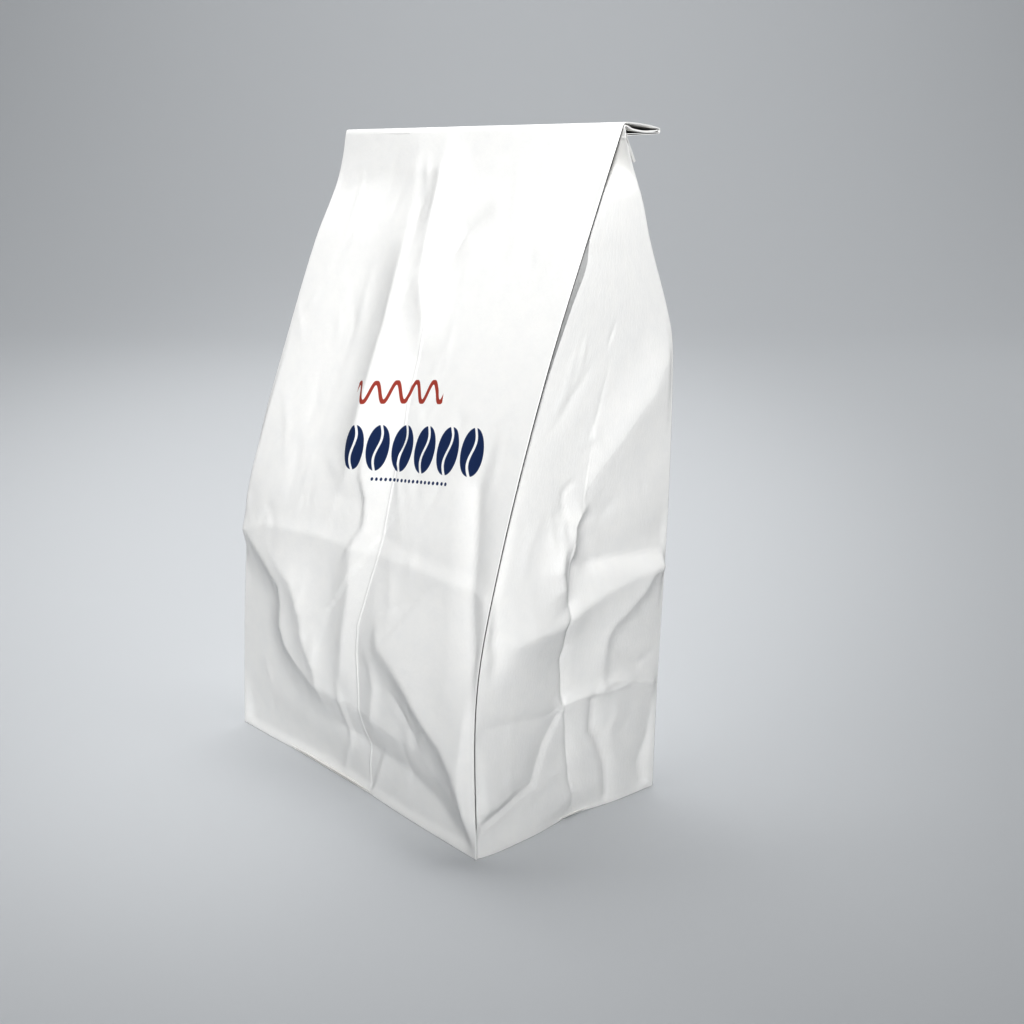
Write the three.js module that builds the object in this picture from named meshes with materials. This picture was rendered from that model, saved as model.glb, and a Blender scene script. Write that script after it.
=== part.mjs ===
// Filled paper bag with folded-in side gussets, closed by folding its flattened top over to the back.
// Millimetres, +Z up. The broad front panel faces -Y, and the gusset with the most creases faces +X.
// The bag is one closed body: a loft of closed outlines that starts at the flat base, climbs to the
// neck, and then follows the folded strip of the top as far as the mouth.
import * as THREE from "three";

// Main sizes
const PANEL_WIDTH = 108;
const GUSSET_WIDTH = 60.4;
const BODY_TOP = 167.3; // the last level outline, just under the fold
const HALF_WIDTH = PANEL_WIDTH / 2;
const HALF_GUSSET = GUSSET_WIDTH / 2;

// Pleat edges: how far each upright edge leans, as [height, shift in Y from the base corner]
const FRONT_RIGHT_LEAN = [[0, 0], [41, 0.4], [72, 7.6], [112, 21.1], [151, 37.3], [BODY_TOP, 44.3]];
const FRONT_LEFT_LEAN = [
  [0, 0.2], [37, 2.4], [67, 5.6], [87, 10.8], [108, 18.6],
  [138, 30.6], [153, 38.2], [160, 40.6], [BODY_TOP, 42.1],
];
const BACK_RIGHT_LEAN = [
  [0, 0], [30, 0.7], [75, 2.8], [113, 3], [122, 1.6],
  [142, -6.2], [151, -9], [160, -13], [BODY_TOP, -15.3],
];
const BACK_LEFT_LEAN = [
  [0, 0], [30, 0.9], [75, 2.2], [108, 2.4], [120, 0.6],
  [142, -7], [151, -10.4], [160, -15], [BODY_TOP, -17.5],
];

// How the contents press the paper out of the flat panels
const FRONT_BULGE = 1.4;
const BACK_BULGE = 4.2;
const BULGE_FOOT = 24; // the bulge is full from this height
const BULGE_FULL = 40; // up to this one
const BULGE_TOP = 120; // and gone at this one
const FRONT_FLANK_BULGE = 1.2; // of a gusset's half beside the front panel
const BACK_FLANK_BULGE = 2.8; // and of its half beside the back panel
const LOOSE_TUCK = 4.4; // how far the gusset's middle sits in where the contents hold it open
const TUCK_FROM = 50; // the gusset starts to close here
const TUCK_TO = 84; // and is folded as deep as its width lets it from here up
const NECK_FROM = 154; // the two folded halves run together from here up
const PLEAT_LIP = 0.5; // thickness of the doubled paper along an upright edge
const RIGHT_HEM = [[0, 0], [108, 0], [118, 1.2], [136, 1.8], [147, 0.4], [152, 0], [BODY_TOP, 0]];
// Where the lower edge leaves the straight line: place along it, depth inwards, spread and height
const FRONT_FOOT = { middle: -9, depth: 1.9, spread: 23, height: 12 };
const RIGHT_FOOT = { middle: 15, depth: -0.9, spread: 12, height: 9 };

// The folded-over top, followed from the neck as [length, turn in degrees] pieces
const NECK_HEADING = 73;
const STRIP_THICKNESS = 0.62;
const NOTCH_DEPTH = 1.2;
const STRIP_PATH = [
  { name: "neck", length: 0.35, turn: 0, steps: 1 },
  { name: "top fold", length: 0.9, turn: -73, steps: 4 },
  { name: "upper layer", length: 10.7, turn: -12, steps: 4 },
  { name: "tip fold", length: 1.3, turn: -162.5, steps: 6 },
  { name: "lower layer", length: 9, turn: 0, steps: 3 },
  { name: "back fold", length: 1.2, turn: 114.5, steps: 4 },
  { name: "mouth strip", length: 5.4, turn: 0, steps: 2 },
];

// Mesh density
const FRONT_COLUMNS = 28;
const GUSSET_COLUMNS = 14;
const BACK_COLUMNS = 18;
const BASE_LEVELS = [0, 1.6, 4.5, 9, 15, 21, 26.5, 30.2, 34, 39.5, 45, 51, 57, 61, 63.4, 67, 73];
const BODY_STEP = 6.4;
const SPINE_POINTS = 9; // along the middle of each end of the body
const SPINE_REACH = 46;

// Creases of the front panel: [x, z] runs, height out of the paper, and how wide they fade.
const CENTRE_CREASE = [
  [5.4, 134], [5.3, 118], [6.6, 108], [9.6, 90], [9.2, 78],
  [7.7, 64], [4.4, 46], [4.9, 34], [8.5, 16], [8.6, 0],
];
const FRONT_CREASES = [
  { run: CENTRE_CREASE, height: 1.0, width: 15 },
  { run: [[-7.8, 164], [-7.2, 152], [-9, 144], [-2, 134], [2, 112]], height: -1.1, width: 13 },
  { run: [[-28, 163], [-18, 135], [-20, 105], [-15, 80]], height: -0.9, width: 16 },
  { run: [[6, 130], [14, 142], [19, 148]], height: -0.6, width: 9 },
  { run: [[-51, 56], [-38, 42], [-30, 30], [-20, 23], [-3, 20], [10, 19]], height: -1.0, width: 12 },
  { run: [[-10, 63], [-1.5, 40], [-2.5, 25]], height: -0.8, width: 9 },
  { run: [[14, 47], [31, 31], [42, 19.5], [51, 10], [53, 2]], height: -1.5, width: 15 },
  { run: [[43, 100], [43.5, 84], [47.5, 69], [50, 52]], height: -0.8, width: 10 },
  { run: [[-53, 61], [-10, 63.6], [25, 64], [53, 62]], height: -0.45, width: 7 },
];

// Creases of the gussets: [distance from the front edge, z] runs in the same form
const RIGHT_CREASES = [
  { run: [[30, 31], [40, 31.5], [58, 30]], height: 0.6, width: 8 },
  { run: [[60, 62], [54, 55], [42, 45], [41, 32]], height: -1.3, width: 10 },
  { run: [[39, 31], [38.5, 21], [42, 12], [42, 7]], height: -1.0, width: 7 },
  { run: [[6, 47], [22, 50], [37, 54], [60, 62]], height: 1.5, width: 14 },
  { run: [[60, 110], [42, 90], [35, 80]], height: 1.1, width: 14 },
  { run: [[38, 83], [35, 71], [31, 58]], height: -1.4, width: 7 },
];
const LEFT_CREASES = [
  { run: [[2, 30], [30, 31], [58, 30]], height: 0.7, width: 9 },
  { run: [[2, 100], [22, 78], [30, 62], [58, 52]], height: 1.2, width: 14 },
  { run: [[48, 60], [42, 46], [46, 30]], height: -1.1, width: 10 },
];
const BACK_CREASES = [
  { run: [[-54, 30.2], [54, 30.2]], height: 0.9, width: 9 },
  { run: [[-30, 120], [-12, 92], [-20, 60], [-14, 34]], height: -1.4, width: 16 },
  { run: [[34, 148], [22, 118], [30, 84], [22, 50]], height: -1.2, width: 15 },
];
const EDGE_HOLD = 4; // creases fade out over this distance from an upright edge
const BASE_HOLD = 3; // and over this height above the base

/** Keeps a number between two limits. */
function clamp(value, low, high) {
  return Math.min(high, Math.max(low, value));
}

/** Moves from 0 to 1 with no corner at either end. */
function ease(share) {
  const t = clamp(share, 0, 1);
  return t * t * (3 - 2 * t);
}

/** Reads a smooth curve through [place, value] knots. */
function along(knots, place) {
  const last = knots.length - 1;
  if (place <= knots[0][0]) return knots[0][1];
  if (place >= knots[last][0]) return knots[last][1];
  const slope = (i) => {
    const a = knots[Math.max(0, i - 1)];
    const b = knots[Math.min(last, i + 1)];
    return (b[1] - a[1]) / (b[0] - a[0]);
  };
  let k = 0;
  while (place > knots[k + 1][0]) k += 1;
  const span = knots[k + 1][0] - knots[k][0];
  const t = (place - knots[k][0]) / span;
  const rise = knots[k][1] * (1 + 2 * t) * (1 - t) ** 2 + knots[k + 1][1] * t * t * (3 - 2 * t);
  return rise + span * (slope(k) * t * (1 - t) ** 2 - slope(k + 1) * t * t * (1 - t));
}

/** Shortest distance from a point of a panel to a crease's run. */
function distanceToRun(run, a, z) {
  let nearest = Infinity;
  for (let i = 0; i + 1 < run.length; i += 1) {
    const [a0, z0] = run[i];
    const [a1, z1] = run[i + 1];
    const length2 = (a1 - a0) ** 2 + (z1 - z0) ** 2;
    const t = clamp(((a - a0) * (a1 - a0) + (z - z0) * (z1 - z0)) / length2, 0, 1);
    nearest = Math.min(nearest, Math.hypot(a - a0 - t * (a1 - a0), z - z0 - t * (z1 - z0)));
  }
  return nearest;
}

/** Relief of a creased panel: each crease is sharp on its line and fades to the flat paper. */
function creaseRelief(creases, a, z) {
  let height = 0;
  for (const crease of creases) {
    const share = 1 - distanceToRun(crease.run, a, z) / crease.width;
    if (share > 0) height += crease.height * share * share;
  }
  return height;
}

/** Fades relief out beside the upright edges of a panel and at the base. */
function holdEdges(fromEdge, z) {
  return ease(fromEdge / EDGE_HOLD) * ease(z / BASE_HOLD);
}

/** How strongly the contents press outwards at a height. */
function fillAt(z) {
  return ease(z / BULGE_FOOT) * (1 - ease((z - BULGE_FULL) / (BULGE_TOP - BULGE_FULL)));
}

/** The four upright edges at a height. */
function cornersAt(z) {
  return {
    frontLeft: -HALF_GUSSET + along(FRONT_LEFT_LEAN, z),
    frontRight: -HALF_GUSSET + along(FRONT_RIGHT_LEAN, z),
    backLeft: HALF_GUSSET + along(BACK_LEFT_LEAN, z),
    backRight: HALF_GUSSET + along(BACK_RIGHT_LEAN, z),
  };
}

/** How far the middle of a gusset sits inside the upright edges, from the room left to it. */
function tuckDepth(room, z) {
  const halfRoom = Math.min(room / 2, HALF_GUSSET);
  const folded = Math.sqrt(HALF_GUSSET ** 2 - halfRoom ** 2);
  const loose = LOOSE_TUCK * Math.min(1, z / HALF_GUSSET);
  const closing = ease((z - TUCK_FROM) / (TUCK_TO - TUCK_FROM));
  const depth = loose + (folded - loose) * closing;
  return depth + (NOTCH_DEPTH - depth) * ease((z - NECK_FROM) / (BODY_TOP - NECK_FROM));
}

/** How far the lower edge of a panel is pushed in at a place along it. */
function footAt(foot, place, z) {
  const share = (place - foot.middle) / foot.spread;
  return foot.depth * Math.exp(-share * share) * (1 - ease(z / foot.height));
}

/** Points of one broad panel at a height, from its left to its right edge, as [x, y, z]. */
function panelRow(yLeft, yRight, z, panel) {
  const row = [];
  for (let i = 0; i <= panel.columns; i += 1) {
    const u = panel.spread(i / panel.columns);
    const x = -HALF_WIDTH + PANEL_WIDTH * u;
    const fromEdge = Math.min(u, 1 - u) * PANEL_WIDTH;
    const pressed = panel.bulge * fillAt(z) * (1 - (2 * u - 1) ** 2);
    const relief = creaseRelief(panel.creases, x, z) * holdEdges(fromEdge, z);
    const foot = panel.foot ? footAt(panel.foot, x, z) * ease(fromEdge / EDGE_HOLD) : 0;
    row.push([x, yLeft + (yRight - yLeft) * u + panel.outward * (pressed + relief - foot), z]);
  }
  return row;
}

/** Points of one gusset at a height, from front to back, without its two upright edges.
 * Below half its width, the gusset is flat between two slanting creases that meet at that height. */
function gussetRow(yFront, yBack, z, gusset) {
  const row = [];
  const lip = Math.min(PLEAT_LIP, (yBack - yFront) / 5);
  const near = yFront + lip + gusset.hem;
  const far = yBack - lip;
  const tuck = tuckDepth(yBack - yFront, z);
  const middle = (yFront + yBack) / 2;
  const half = GUSSET_COLUMNS / 2;
  const flatFrom = Math.max(Math.min(1, z / HALF_GUSSET), 1 / half);
  for (let i = 1; i < GUSSET_COLUMNS; i += 1) {
    const inFront = i <= half;
    const share = inFront ? (i - 1) / (half - 1) : 2 - (i - 1) / (half - 1);
    const y = inFront ? near + (middle - near) * share : far + (middle - far) * share;
    const across = (i / GUSSET_COLUMNS) * GUSSET_WIDTH;
    const fromEdge = Math.min(across, GUSSET_WIDTH - across);
    const bulge = inFront ? FRONT_FLANK_BULGE : BACK_FLANK_BULGE;
    const pressed = bulge * fillAt(z) * ease(z / HALF_GUSSET) * 4 * share * (1 - share);
    const relief = creaseRelief(gusset.creases, across, z) * holdEdges(fromEdge, z);
    const foot = gusset.foot ? footAt(gusset.foot, across, z) * ease(fromEdge / EDGE_HOLD) : 0;
    const inset = tuck * Math.min(1, share / flatFrom) + foot - pressed - relief;
    row.push([gusset.side * (HALF_WIDTH - inset), y, z]);
  }
  return row;
}

/** Column spacing that keeps one column of the front panel on the long middle crease. */
function frontSpread(z) {
  const upwards = CENTRE_CREASE.map(([x, height]) => [height, x]).reverse();
  const creaseShare = (along(upwards, z) + HALF_WIDTH) / PANEL_WIDTH;
  const column = Math.round(creaseShare * FRONT_COLUMNS) / FRONT_COLUMNS;
  return (u) => (u < column
    ? (u / column) * creaseShare
    : creaseShare + ((u - column) / (1 - column)) * (1 - creaseShare));
}

/** Column spacing with equal steps. */
function evenSpread(u) {
  return u;
}

/** One closed outline of the body at a height, starting at the front left edge. */
function bodyOutline(z) {
  const c = cornersAt(z);
  const front = panelRow(c.frontLeft, c.frontRight, z, {
    outward: -1,
    bulge: FRONT_BULGE,
    creases: FRONT_CREASES,
    foot: FRONT_FOOT,
    columns: FRONT_COLUMNS,
    spread: frontSpread(z),
  });
  const back = panelRow(c.backLeft, c.backRight, z, {
    outward: 1,
    bulge: BACK_BULGE,
    creases: BACK_CREASES,
    columns: BACK_COLUMNS,
    spread: evenSpread,
  });
  const hem = along(RIGHT_HEM, z);
  const rightGusset = { side: 1, creases: RIGHT_CREASES, foot: RIGHT_FOOT, hem };
  const leftGusset = { side: -1, creases: LEFT_CREASES, hem: 0 };
  const right = gussetRow(c.frontRight, c.backRight, z, rightGusset);
  const left = gussetRow(c.frontLeft, c.backLeft, z, leftGusset);
  return [...front, ...right, ...back.reverse(), ...left.reverse()];
}

/** Follows the folded strip and returns its stations: middle line and heading in radians. */
function stripStations() {
  const c = cornersAt(BODY_TOP);
  const stations = [];
  let y = (c.frontLeft + c.frontRight + c.backLeft + c.backRight) / 4;
  let z = BODY_TOP;
  let heading = THREE.MathUtils.degToRad(NECK_HEADING);
  for (const piece of STRIP_PATH) {
    const turn = THREE.MathUtils.degToRad(piece.turn) / piece.steps;
    const advance = piece.length / piece.steps;
    for (let i = 0; i < piece.steps; i += 1) {
      y += advance * Math.cos(heading + turn / 2);
      z += advance * Math.sin(heading + turn / 2);
      heading += turn;
      stations.push({ y, z, heading });
    }
  }
  return stations;
}

/** One closed outline of the folded strip, with the same point count as a body outline. */
function stripOutline({ y, z, heading }) {
  const c = cornersAt(BODY_TOP);
  const skew = (c.frontRight + c.backRight - c.frontLeft - c.backLeft) / 4;
  const place = (x, off) => [
    x,
    y + skew * (x / HALF_WIDTH) - off * Math.sin(heading),
    z + off * Math.cos(heading),
  ];
  const face = (columns, off, spread) => Array.from(
    { length: columns + 1 },
    (_, i) => place(-HALF_WIDTH + PANEL_WIDTH * spread(i / columns), off),
  );
  const notch = (side) => Array.from({ length: GUSSET_COLUMNS - 1 }, (_, i) => {
    const t = (i + 1) / GUSSET_COLUMNS;
    const depth = NOTCH_DEPTH * (1 - Math.abs(2 * t - 1));
    return place(side * (HALF_WIDTH - depth), STRIP_THICKNESS * (0.5 - t));
  });
  const front = face(FRONT_COLUMNS, STRIP_THICKNESS / 2, frontSpread(BODY_TOP));
  const back = face(BACK_COLUMNS, -STRIP_THICKNESS / 2, evenSpread);
  return [...front, ...notch(1), ...back.reverse(), ...notch(-1).reverse()];
}

/** Heights of the body's level outlines, closer together around the creases near the base. */
function bodyLevels() {
  const levels = [...BASE_LEVELS];
  const from = levels[levels.length - 1];
  const count = Math.round((BODY_TOP - from) / BODY_STEP);
  for (let i = 1; i <= count; i += 1) levels.push(from + ((BODY_TOP - from) * i) / count);
  return levels;
}

/** Triangles between two chains of points that both run from left to right. */
function zip(points, lower, upper) {
  const faces = [];
  let i = 0;
  let j = 0;
  while (i + 1 < lower.length || j + 1 < upper.length) {
    const nextLower = i + 1 < lower.length ? points[lower[i + 1]][0] : Infinity;
    const nextUpper = j + 1 < upper.length ? points[upper[j + 1]][0] : Infinity;
    if (nextLower <= nextUpper) {
      faces.push([lower[i], lower[i + 1], upper[j]]);
      i += 1;
    } else {
      faces.push([lower[i], upper[j + 1], upper[j]]);
      j += 1;
    }
  }
  return faces;
}

/** Closes one end of the loft: a spine along the middle, joined to the outline all round it. */
function capFaces(points, offset, count) {
  const outline = Array.from({ length: count }, (_, i) => offset + i);
  const front = outline.slice(0, FRONT_COLUMNS + 1);
  const backStart = FRONT_COLUMNS + GUSSET_COLUMNS;
  const back = outline.slice(backStart, backStart + BACK_COLUMNS + 1).reverse();
  const rightEnd = outline.slice(FRONT_COLUMNS, backStart + 1);
  const leftEnd = [...outline.slice(backStart + BACK_COLUMNS), outline[0]];
  const spine = [];
  for (let i = 0; i < SPINE_POINTS; i += 1) {
    const x = SPINE_REACH * (2 * (i / (SPINE_POINTS - 1)) - 1);
    const share = (x / HALF_WIDTH + 1) / 2;
    const ends = [front[0], back[0], front[FRONT_COLUMNS], back[BACK_COLUMNS]].map((k) => points[k]);
    const mix = (axis) => ((ends[0][axis] + ends[1][axis]) * (1 - share)
      + (ends[2][axis] + ends[3][axis]) * share) / 2;
    spine.push(points.length);
    points.push([x, mix(1), mix(2)]);
  }
  const fan = (hub, chain) => chain.slice(1).map((k, i) => [hub, chain[i], k]);
  return [
    ...zip(points, front, spine),
    ...zip(points, spine, back),
    ...fan(spine[SPINE_POINTS - 1], rightEnd),
    ...fan(spine[0], leftEnd),
  ];
}

/** Joins the outlines into one closed body. */
function loft(outlines) {
  const count = outlines[0].length;
  const points = outlines.flat(1);
  const faces = [];
  for (let r = 0; r + 1 < outlines.length; r += 1) {
    for (let i = 0; i < count; i += 1) {
      const a = r * count + i;
      const b = r * count + ((i + 1) % count);
      faces.push(a, b, b + count, a, b + count, a + count);
    }
  }
  for (const [a, b, c] of capFaces(points, 0, count)) faces.push(a, c, b);
  const offset = (outlines.length - 1) * count;
  for (const [a, b, c] of capFaces(points, offset, count)) faces.push(a, b, c);
  const geometry = new THREE.BufferGeometry();
  geometry.setAttribute("position", new THREE.Float32BufferAttribute(points.flat(), 3));
  geometry.setIndex(faces);
  return geometry;
}

/** Puts the middle of the bounding box over the origin. */
function centre(geometry) {
  geometry.computeBoundingBox();
  const box = geometry.boundingBox;
  geometry.translate(-(box.min.x + box.max.x) / 2, -(box.min.y + box.max.y) / 2, -box.min.z);
  geometry.computeVertexNormals();
  return geometry;
}

const paper = new THREE.MeshStandardMaterial({ color: 0xf3f2f0, roughness: 0.72, metalness: 0 });
const outlines = [...bodyLevels().map(bodyOutline), ...stripStations().map(stripOutline)];
const bag = new THREE.Mesh(centre(loft(outlines)), paper);
bag.name = "paper_bag";

const group = new THREE.Group();
group.name = "grocery_bag";
group.add(bag);

export default group;
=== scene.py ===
"""Filled white paper bag with side gussets, a block base and a rolled-over top.

The bag is one lofted paper shell. Its shape is worked out in millimetres in the bag's own frame, whose
origin is the middle of the base rectangle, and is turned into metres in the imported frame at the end.
"""
import logging
import math
from dataclasses import dataclass, field
from enum import Enum
from typing import Sequence

import bpy
import numpy as np
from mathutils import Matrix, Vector


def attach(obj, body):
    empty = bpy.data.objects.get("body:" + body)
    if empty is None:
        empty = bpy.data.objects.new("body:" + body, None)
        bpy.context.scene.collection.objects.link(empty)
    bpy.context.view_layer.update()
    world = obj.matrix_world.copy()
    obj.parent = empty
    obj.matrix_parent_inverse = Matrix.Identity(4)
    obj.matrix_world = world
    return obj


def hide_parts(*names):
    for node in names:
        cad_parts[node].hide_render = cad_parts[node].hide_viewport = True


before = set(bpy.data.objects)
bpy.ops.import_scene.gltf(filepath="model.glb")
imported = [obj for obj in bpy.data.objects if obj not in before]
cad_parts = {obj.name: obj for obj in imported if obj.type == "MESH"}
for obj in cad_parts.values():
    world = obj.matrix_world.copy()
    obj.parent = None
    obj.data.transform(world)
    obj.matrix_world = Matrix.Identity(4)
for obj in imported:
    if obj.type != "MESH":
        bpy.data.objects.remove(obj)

LOG = logging.getLogger("paper_bag")
MM = 0.001
CAD_NODE = "paper_bag"
SEED = 7

# the middle of the CAD solid's box in plan, in mm from the middle of the base rectangle
BOX_CENTRE = (0.209, 2.1137)

# a curve as pairs of place and value
Knots = Sequence[tuple[float, float]]
# a line on a panel as pairs of across and up, in mm
Run = Sequence[tuple[float, float]]
# how finely a mesh is divided: step beside an edge or fold, step elsewhere, and reach of the fine part
Steps = tuple[float, float, float]


class Panel(Enum):
    """The four sides of the tube, in the order in which an outline passes them."""

    FRONT = 0
    RIGHT = 1
    BACK = 2
    LEFT = 3


def ease(share: np.ndarray | float) -> np.ndarray:
    """Moves from 0 to 1 with no corner at either end."""
    t = np.clip(share, 0.0, 1.0)
    return t * t * (3 - 2 * t)


def along(knots: Knots, place: np.ndarray | float) -> np.ndarray:
    """Reads a smooth curve through knots.

    Args:
        knots: Pairs of place and value, in rising order of place.
        place: Where to read the curve.

    Returns:
        The curve's value at each place; beyond the ends it keeps the end's value.
    """
    at, value = np.array(knots, float).T
    last = len(at) - 1
    index = np.arange(last + 1)
    before, after = np.maximum(index - 1, 0), np.minimum(index + 1, last)
    slope = (value[after] - value[before]) / (at[after] - at[before])
    p = np.clip(place, at[0], at[-1])
    k = np.clip(np.searchsorted(at, p, side="right") - 1, 0, last - 1)
    span = at[k + 1] - at[k]
    t = (p - at[k]) / span
    rise = value[k] * (1 + 2 * t) * (1 - t) ** 2 + value[k + 1] * t * t * (3 - 2 * t)
    return rise + span * (slope[k] * t * (1 - t) ** 2 - slope[k + 1] * t * t * (1 - t))


def graded(places: Sequence[float], fine: float, coarse: float, reach: float) -> np.ndarray:
    """Makes places that lie close together around some of them.

    Args:
        places: Values that are hit exactly; the first and last are the ends.
        fine: Step right beside such a value.
        coarse: Step away from them.
        reach: Distance over which the step grows.

    Returns:
        The rising list of places.
    """
    result = [places[0]]
    for start, stop in zip(places[:-1], places[1:]):
        steps = [0.0]
        while steps[-1] < stop - start:
            near = min(steps[-1], stop - start - steps[-1])
            steps.append(steps[-1] + fine + (coarse - fine) * min(1.0, near / reach))
        scaled = start + np.array(steps) * (stop - start) / steps[-1]
        result.extend(scaled[1:])
    return np.array(result)


def new_object(name: str, data: bpy.types.ID) -> bpy.types.Object:
    """Puts data into the scene as an object.

    Args:
        name: The object's name.
        data: A mesh, a lamp or a camera.

    Returns:
        The new object.
    """
    made = bpy.data.objects.new(name, data)
    bpy.context.scene.collection.objects.link(made)
    return made


@dataclass(frozen=True)
class Crease:
    """A line along which the paper has been bent, and how far its relief reaches.

    The relief is sharp on the line and fades over `left` and `right` millimetres, the sides being those of
    someone who follows the run. `strength` tells how much of the height there is at each point of the run,
    and `round` is the radius over which the line itself is rounded off.
    """

    run: Run
    height: float
    left: float
    right: float
    strength: Sequence[float] = ()
    round: float = 0.0

    def relief(self, across: np.ndarray, up: np.ndarray) -> np.ndarray:
        """Height out of the paper at places of a panel.

        Args:
            across: Distance across the panel in mm.
            up: Height on the panel in mm.

        Returns:
            The relief in mm.
        """
        best = np.full(across.shape, np.inf)
        side = np.zeros(across.shape)
        share = np.ones(across.shape)
        power = self.strength or (1.0,) * len(self.run)
        for i, ((a0, z0), (a1, z1)) in enumerate(zip(self.run[:-1], self.run[1:])):
            da, dz = a1 - a0, z1 - z0
            t = np.clip(((across - a0) * da + (up - z0) * dz) / (da * da + dz * dz), 0, 1)
            away = np.hypot(across - a0 - t * da, up - z0 - t * dz)
            nearer = away < best
            best = np.where(nearer, away, best)
            side = np.where(nearer, da * (up - z0) - dz * (across - a0), side)
            share = np.where(nearer, power[i] + (power[i + 1] - power[i]) * t, share)
        width = np.where(side > 0, self.left, self.right)
        best = np.hypot(best, self.round) - self.round
        return self.height * share * np.clip(1 - best / width, 0, 1) ** 2

    def line(self, across: np.ndarray, up: np.ndarray, reach: float) -> np.ndarray:
        """How close places are to the line, from 0 beyond reach to 1 on it."""
        thin = Crease(self.run, 1.0, reach, reach, self.strength)
        return thin.relief(across, up)


@dataclass(frozen=True)
class Crumple:
    """Many short, shallow folds that handling leaves in a sheet of paper.

    `box` is the part of the panel where they start: lowest and highest across, then lowest and highest up,
    in mm. `least` is the smallest share of the height, and `taper` the strength from end to end.
    """

    box: tuple[float, float, float, float]
    count: int
    width: tuple[float, float]
    reach: tuple[float, float]
    height: float
    length: tuple[float, float] = (6.0, 26.0)
    lean: float = 0.45
    bend: float = 0.25
    least: float = 0.3
    taper: tuple[float, float, float] = (0.1, 1, 0.1)

    def creases(self, rng: np.random.Generator) -> list[Crease]:
        """Makes the folds.

        Args:
            rng: Seeded source of chance.

        Returns:
            The folds, about as many hills as valleys.
        """
        made = []
        for _ in range(self.count):
            a, z = rng.uniform(*self.box[:2]), rng.uniform(*self.box[2:])
            angle = math.pi / 2 + rng.normal(0, self.lean)
            length = rng.uniform(*self.length)
            bend = rng.normal(0, self.bend)
            da, dz = math.cos(angle) * length / 2, math.sin(angle) * length / 2
            run = ((a, z), (a + da, z + dz), (a + 2 * da + bend * dz, z + 2 * dz - bend * da))
            height = self.height * rng.uniform(self.least, 1.0) * rng.choice((-1.0, 1.0))
            left, right = rng.uniform(*self.reach), rng.uniform(*self.width)
            made.append(Crease(run, height, left, right, self.taper))
        return made


def relief_of(creases: Sequence[Crease], across: np.ndarray, up: np.ndarray) -> np.ndarray:
    """Adds up the relief of several creases."""
    return sum((c.relief(across, up) for c in creases), np.zeros(across.shape))


@dataclass(frozen=True)
class UprightEdges:
    """How far each upright edge of the bag leans, as height and shift in Y from the base corner."""

    half_gusset: float = 30.2
    front_right: Knots = ((0, 0), (41, 0.4), (72, 7.6), (112, 21.1), (151, 37.3), (167.3, 44.3))
    front_left: Knots = (
        (0, 0.2), (37, 2.4), (67, 5.6), (87, 10.8), (108, 18.6), (138, 30.6), (153, 38.2), (160, 40.6),
        (167.3, 42.1),
    )
    back_right: Knots = (
        (0, 0), (30, 0.7), (75, 2.8), (113, 3), (122, 1.6), (142, -6.2), (151, -9), (160, -13),
        (167.3, -15.3),
    )
    back_left: Knots = (
        (0, 0), (30, 0.9), (75, 2.2), (108, 2.4), (120, 0.6), (142, -7), (151, -10.4), (160, -15),
        (167.3, -17.5),
    )

    def front(self, z: np.ndarray, u: np.ndarray) -> np.ndarray:
        """Y of the flat front panel; u goes from 0 at its left edge to 1 at its right edge."""
        left, right = along(self.front_left, z), along(self.front_right, z)
        return -self.half_gusset + left + (right - left) * u

    def back(self, z: np.ndarray, u: np.ndarray) -> np.ndarray:
        """Y of the flat back panel; u goes from 0 at its left edge to 1 at its right edge."""
        left, right = along(self.back_left, z), along(self.back_right, z)
        return self.half_gusset + left + (right - left) * u


@dataclass(frozen=True)
class Foot:
    """Where the lower edge of a panel leaves the straight line."""

    middle: float
    depth: float
    spread: float
    height: float

    def push(self, place: np.ndarray, z: np.ndarray) -> np.ndarray:
        """How far the edge is pushed in, in mm; below zero it is pushed out."""
        beside = np.exp(-(((place - self.middle) / self.spread) ** 2))
        return self.depth * beside * (1 - ease(z / self.height))


@dataclass(frozen=True)
class StripPiece:
    """A stretch of the folded top: its length, the angle it turns through, and its rows."""

    length: float
    turn: float
    rows: int


# The long thin fold up the middle of the front panel, from the base upwards, as height and place across.
CENTRE_FOLD: Knots = (
    (0, 8.4), (6.3, 8.7), (13.3, 10.2), (18.6, 9.3), (25.6, 8.7), (32, 8.2), (38.2, 7.4), (46.1, 7.1),
    (51.4, 8.2), (59.3, 9.5), (64.6, 10.6), (72, 10.9), (80.4, 10.2), (90.1, 9.7), (96.2, 9.2),
    (101.5, 7.9), (113.8, 7.2), (126.1, 7), (133.2, 6.2), (141.9, 6.5), (147.2, 5),
)
CENTRE_RUN: Run = tuple((x, z) for z, x in CENTRE_FOLD)

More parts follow.
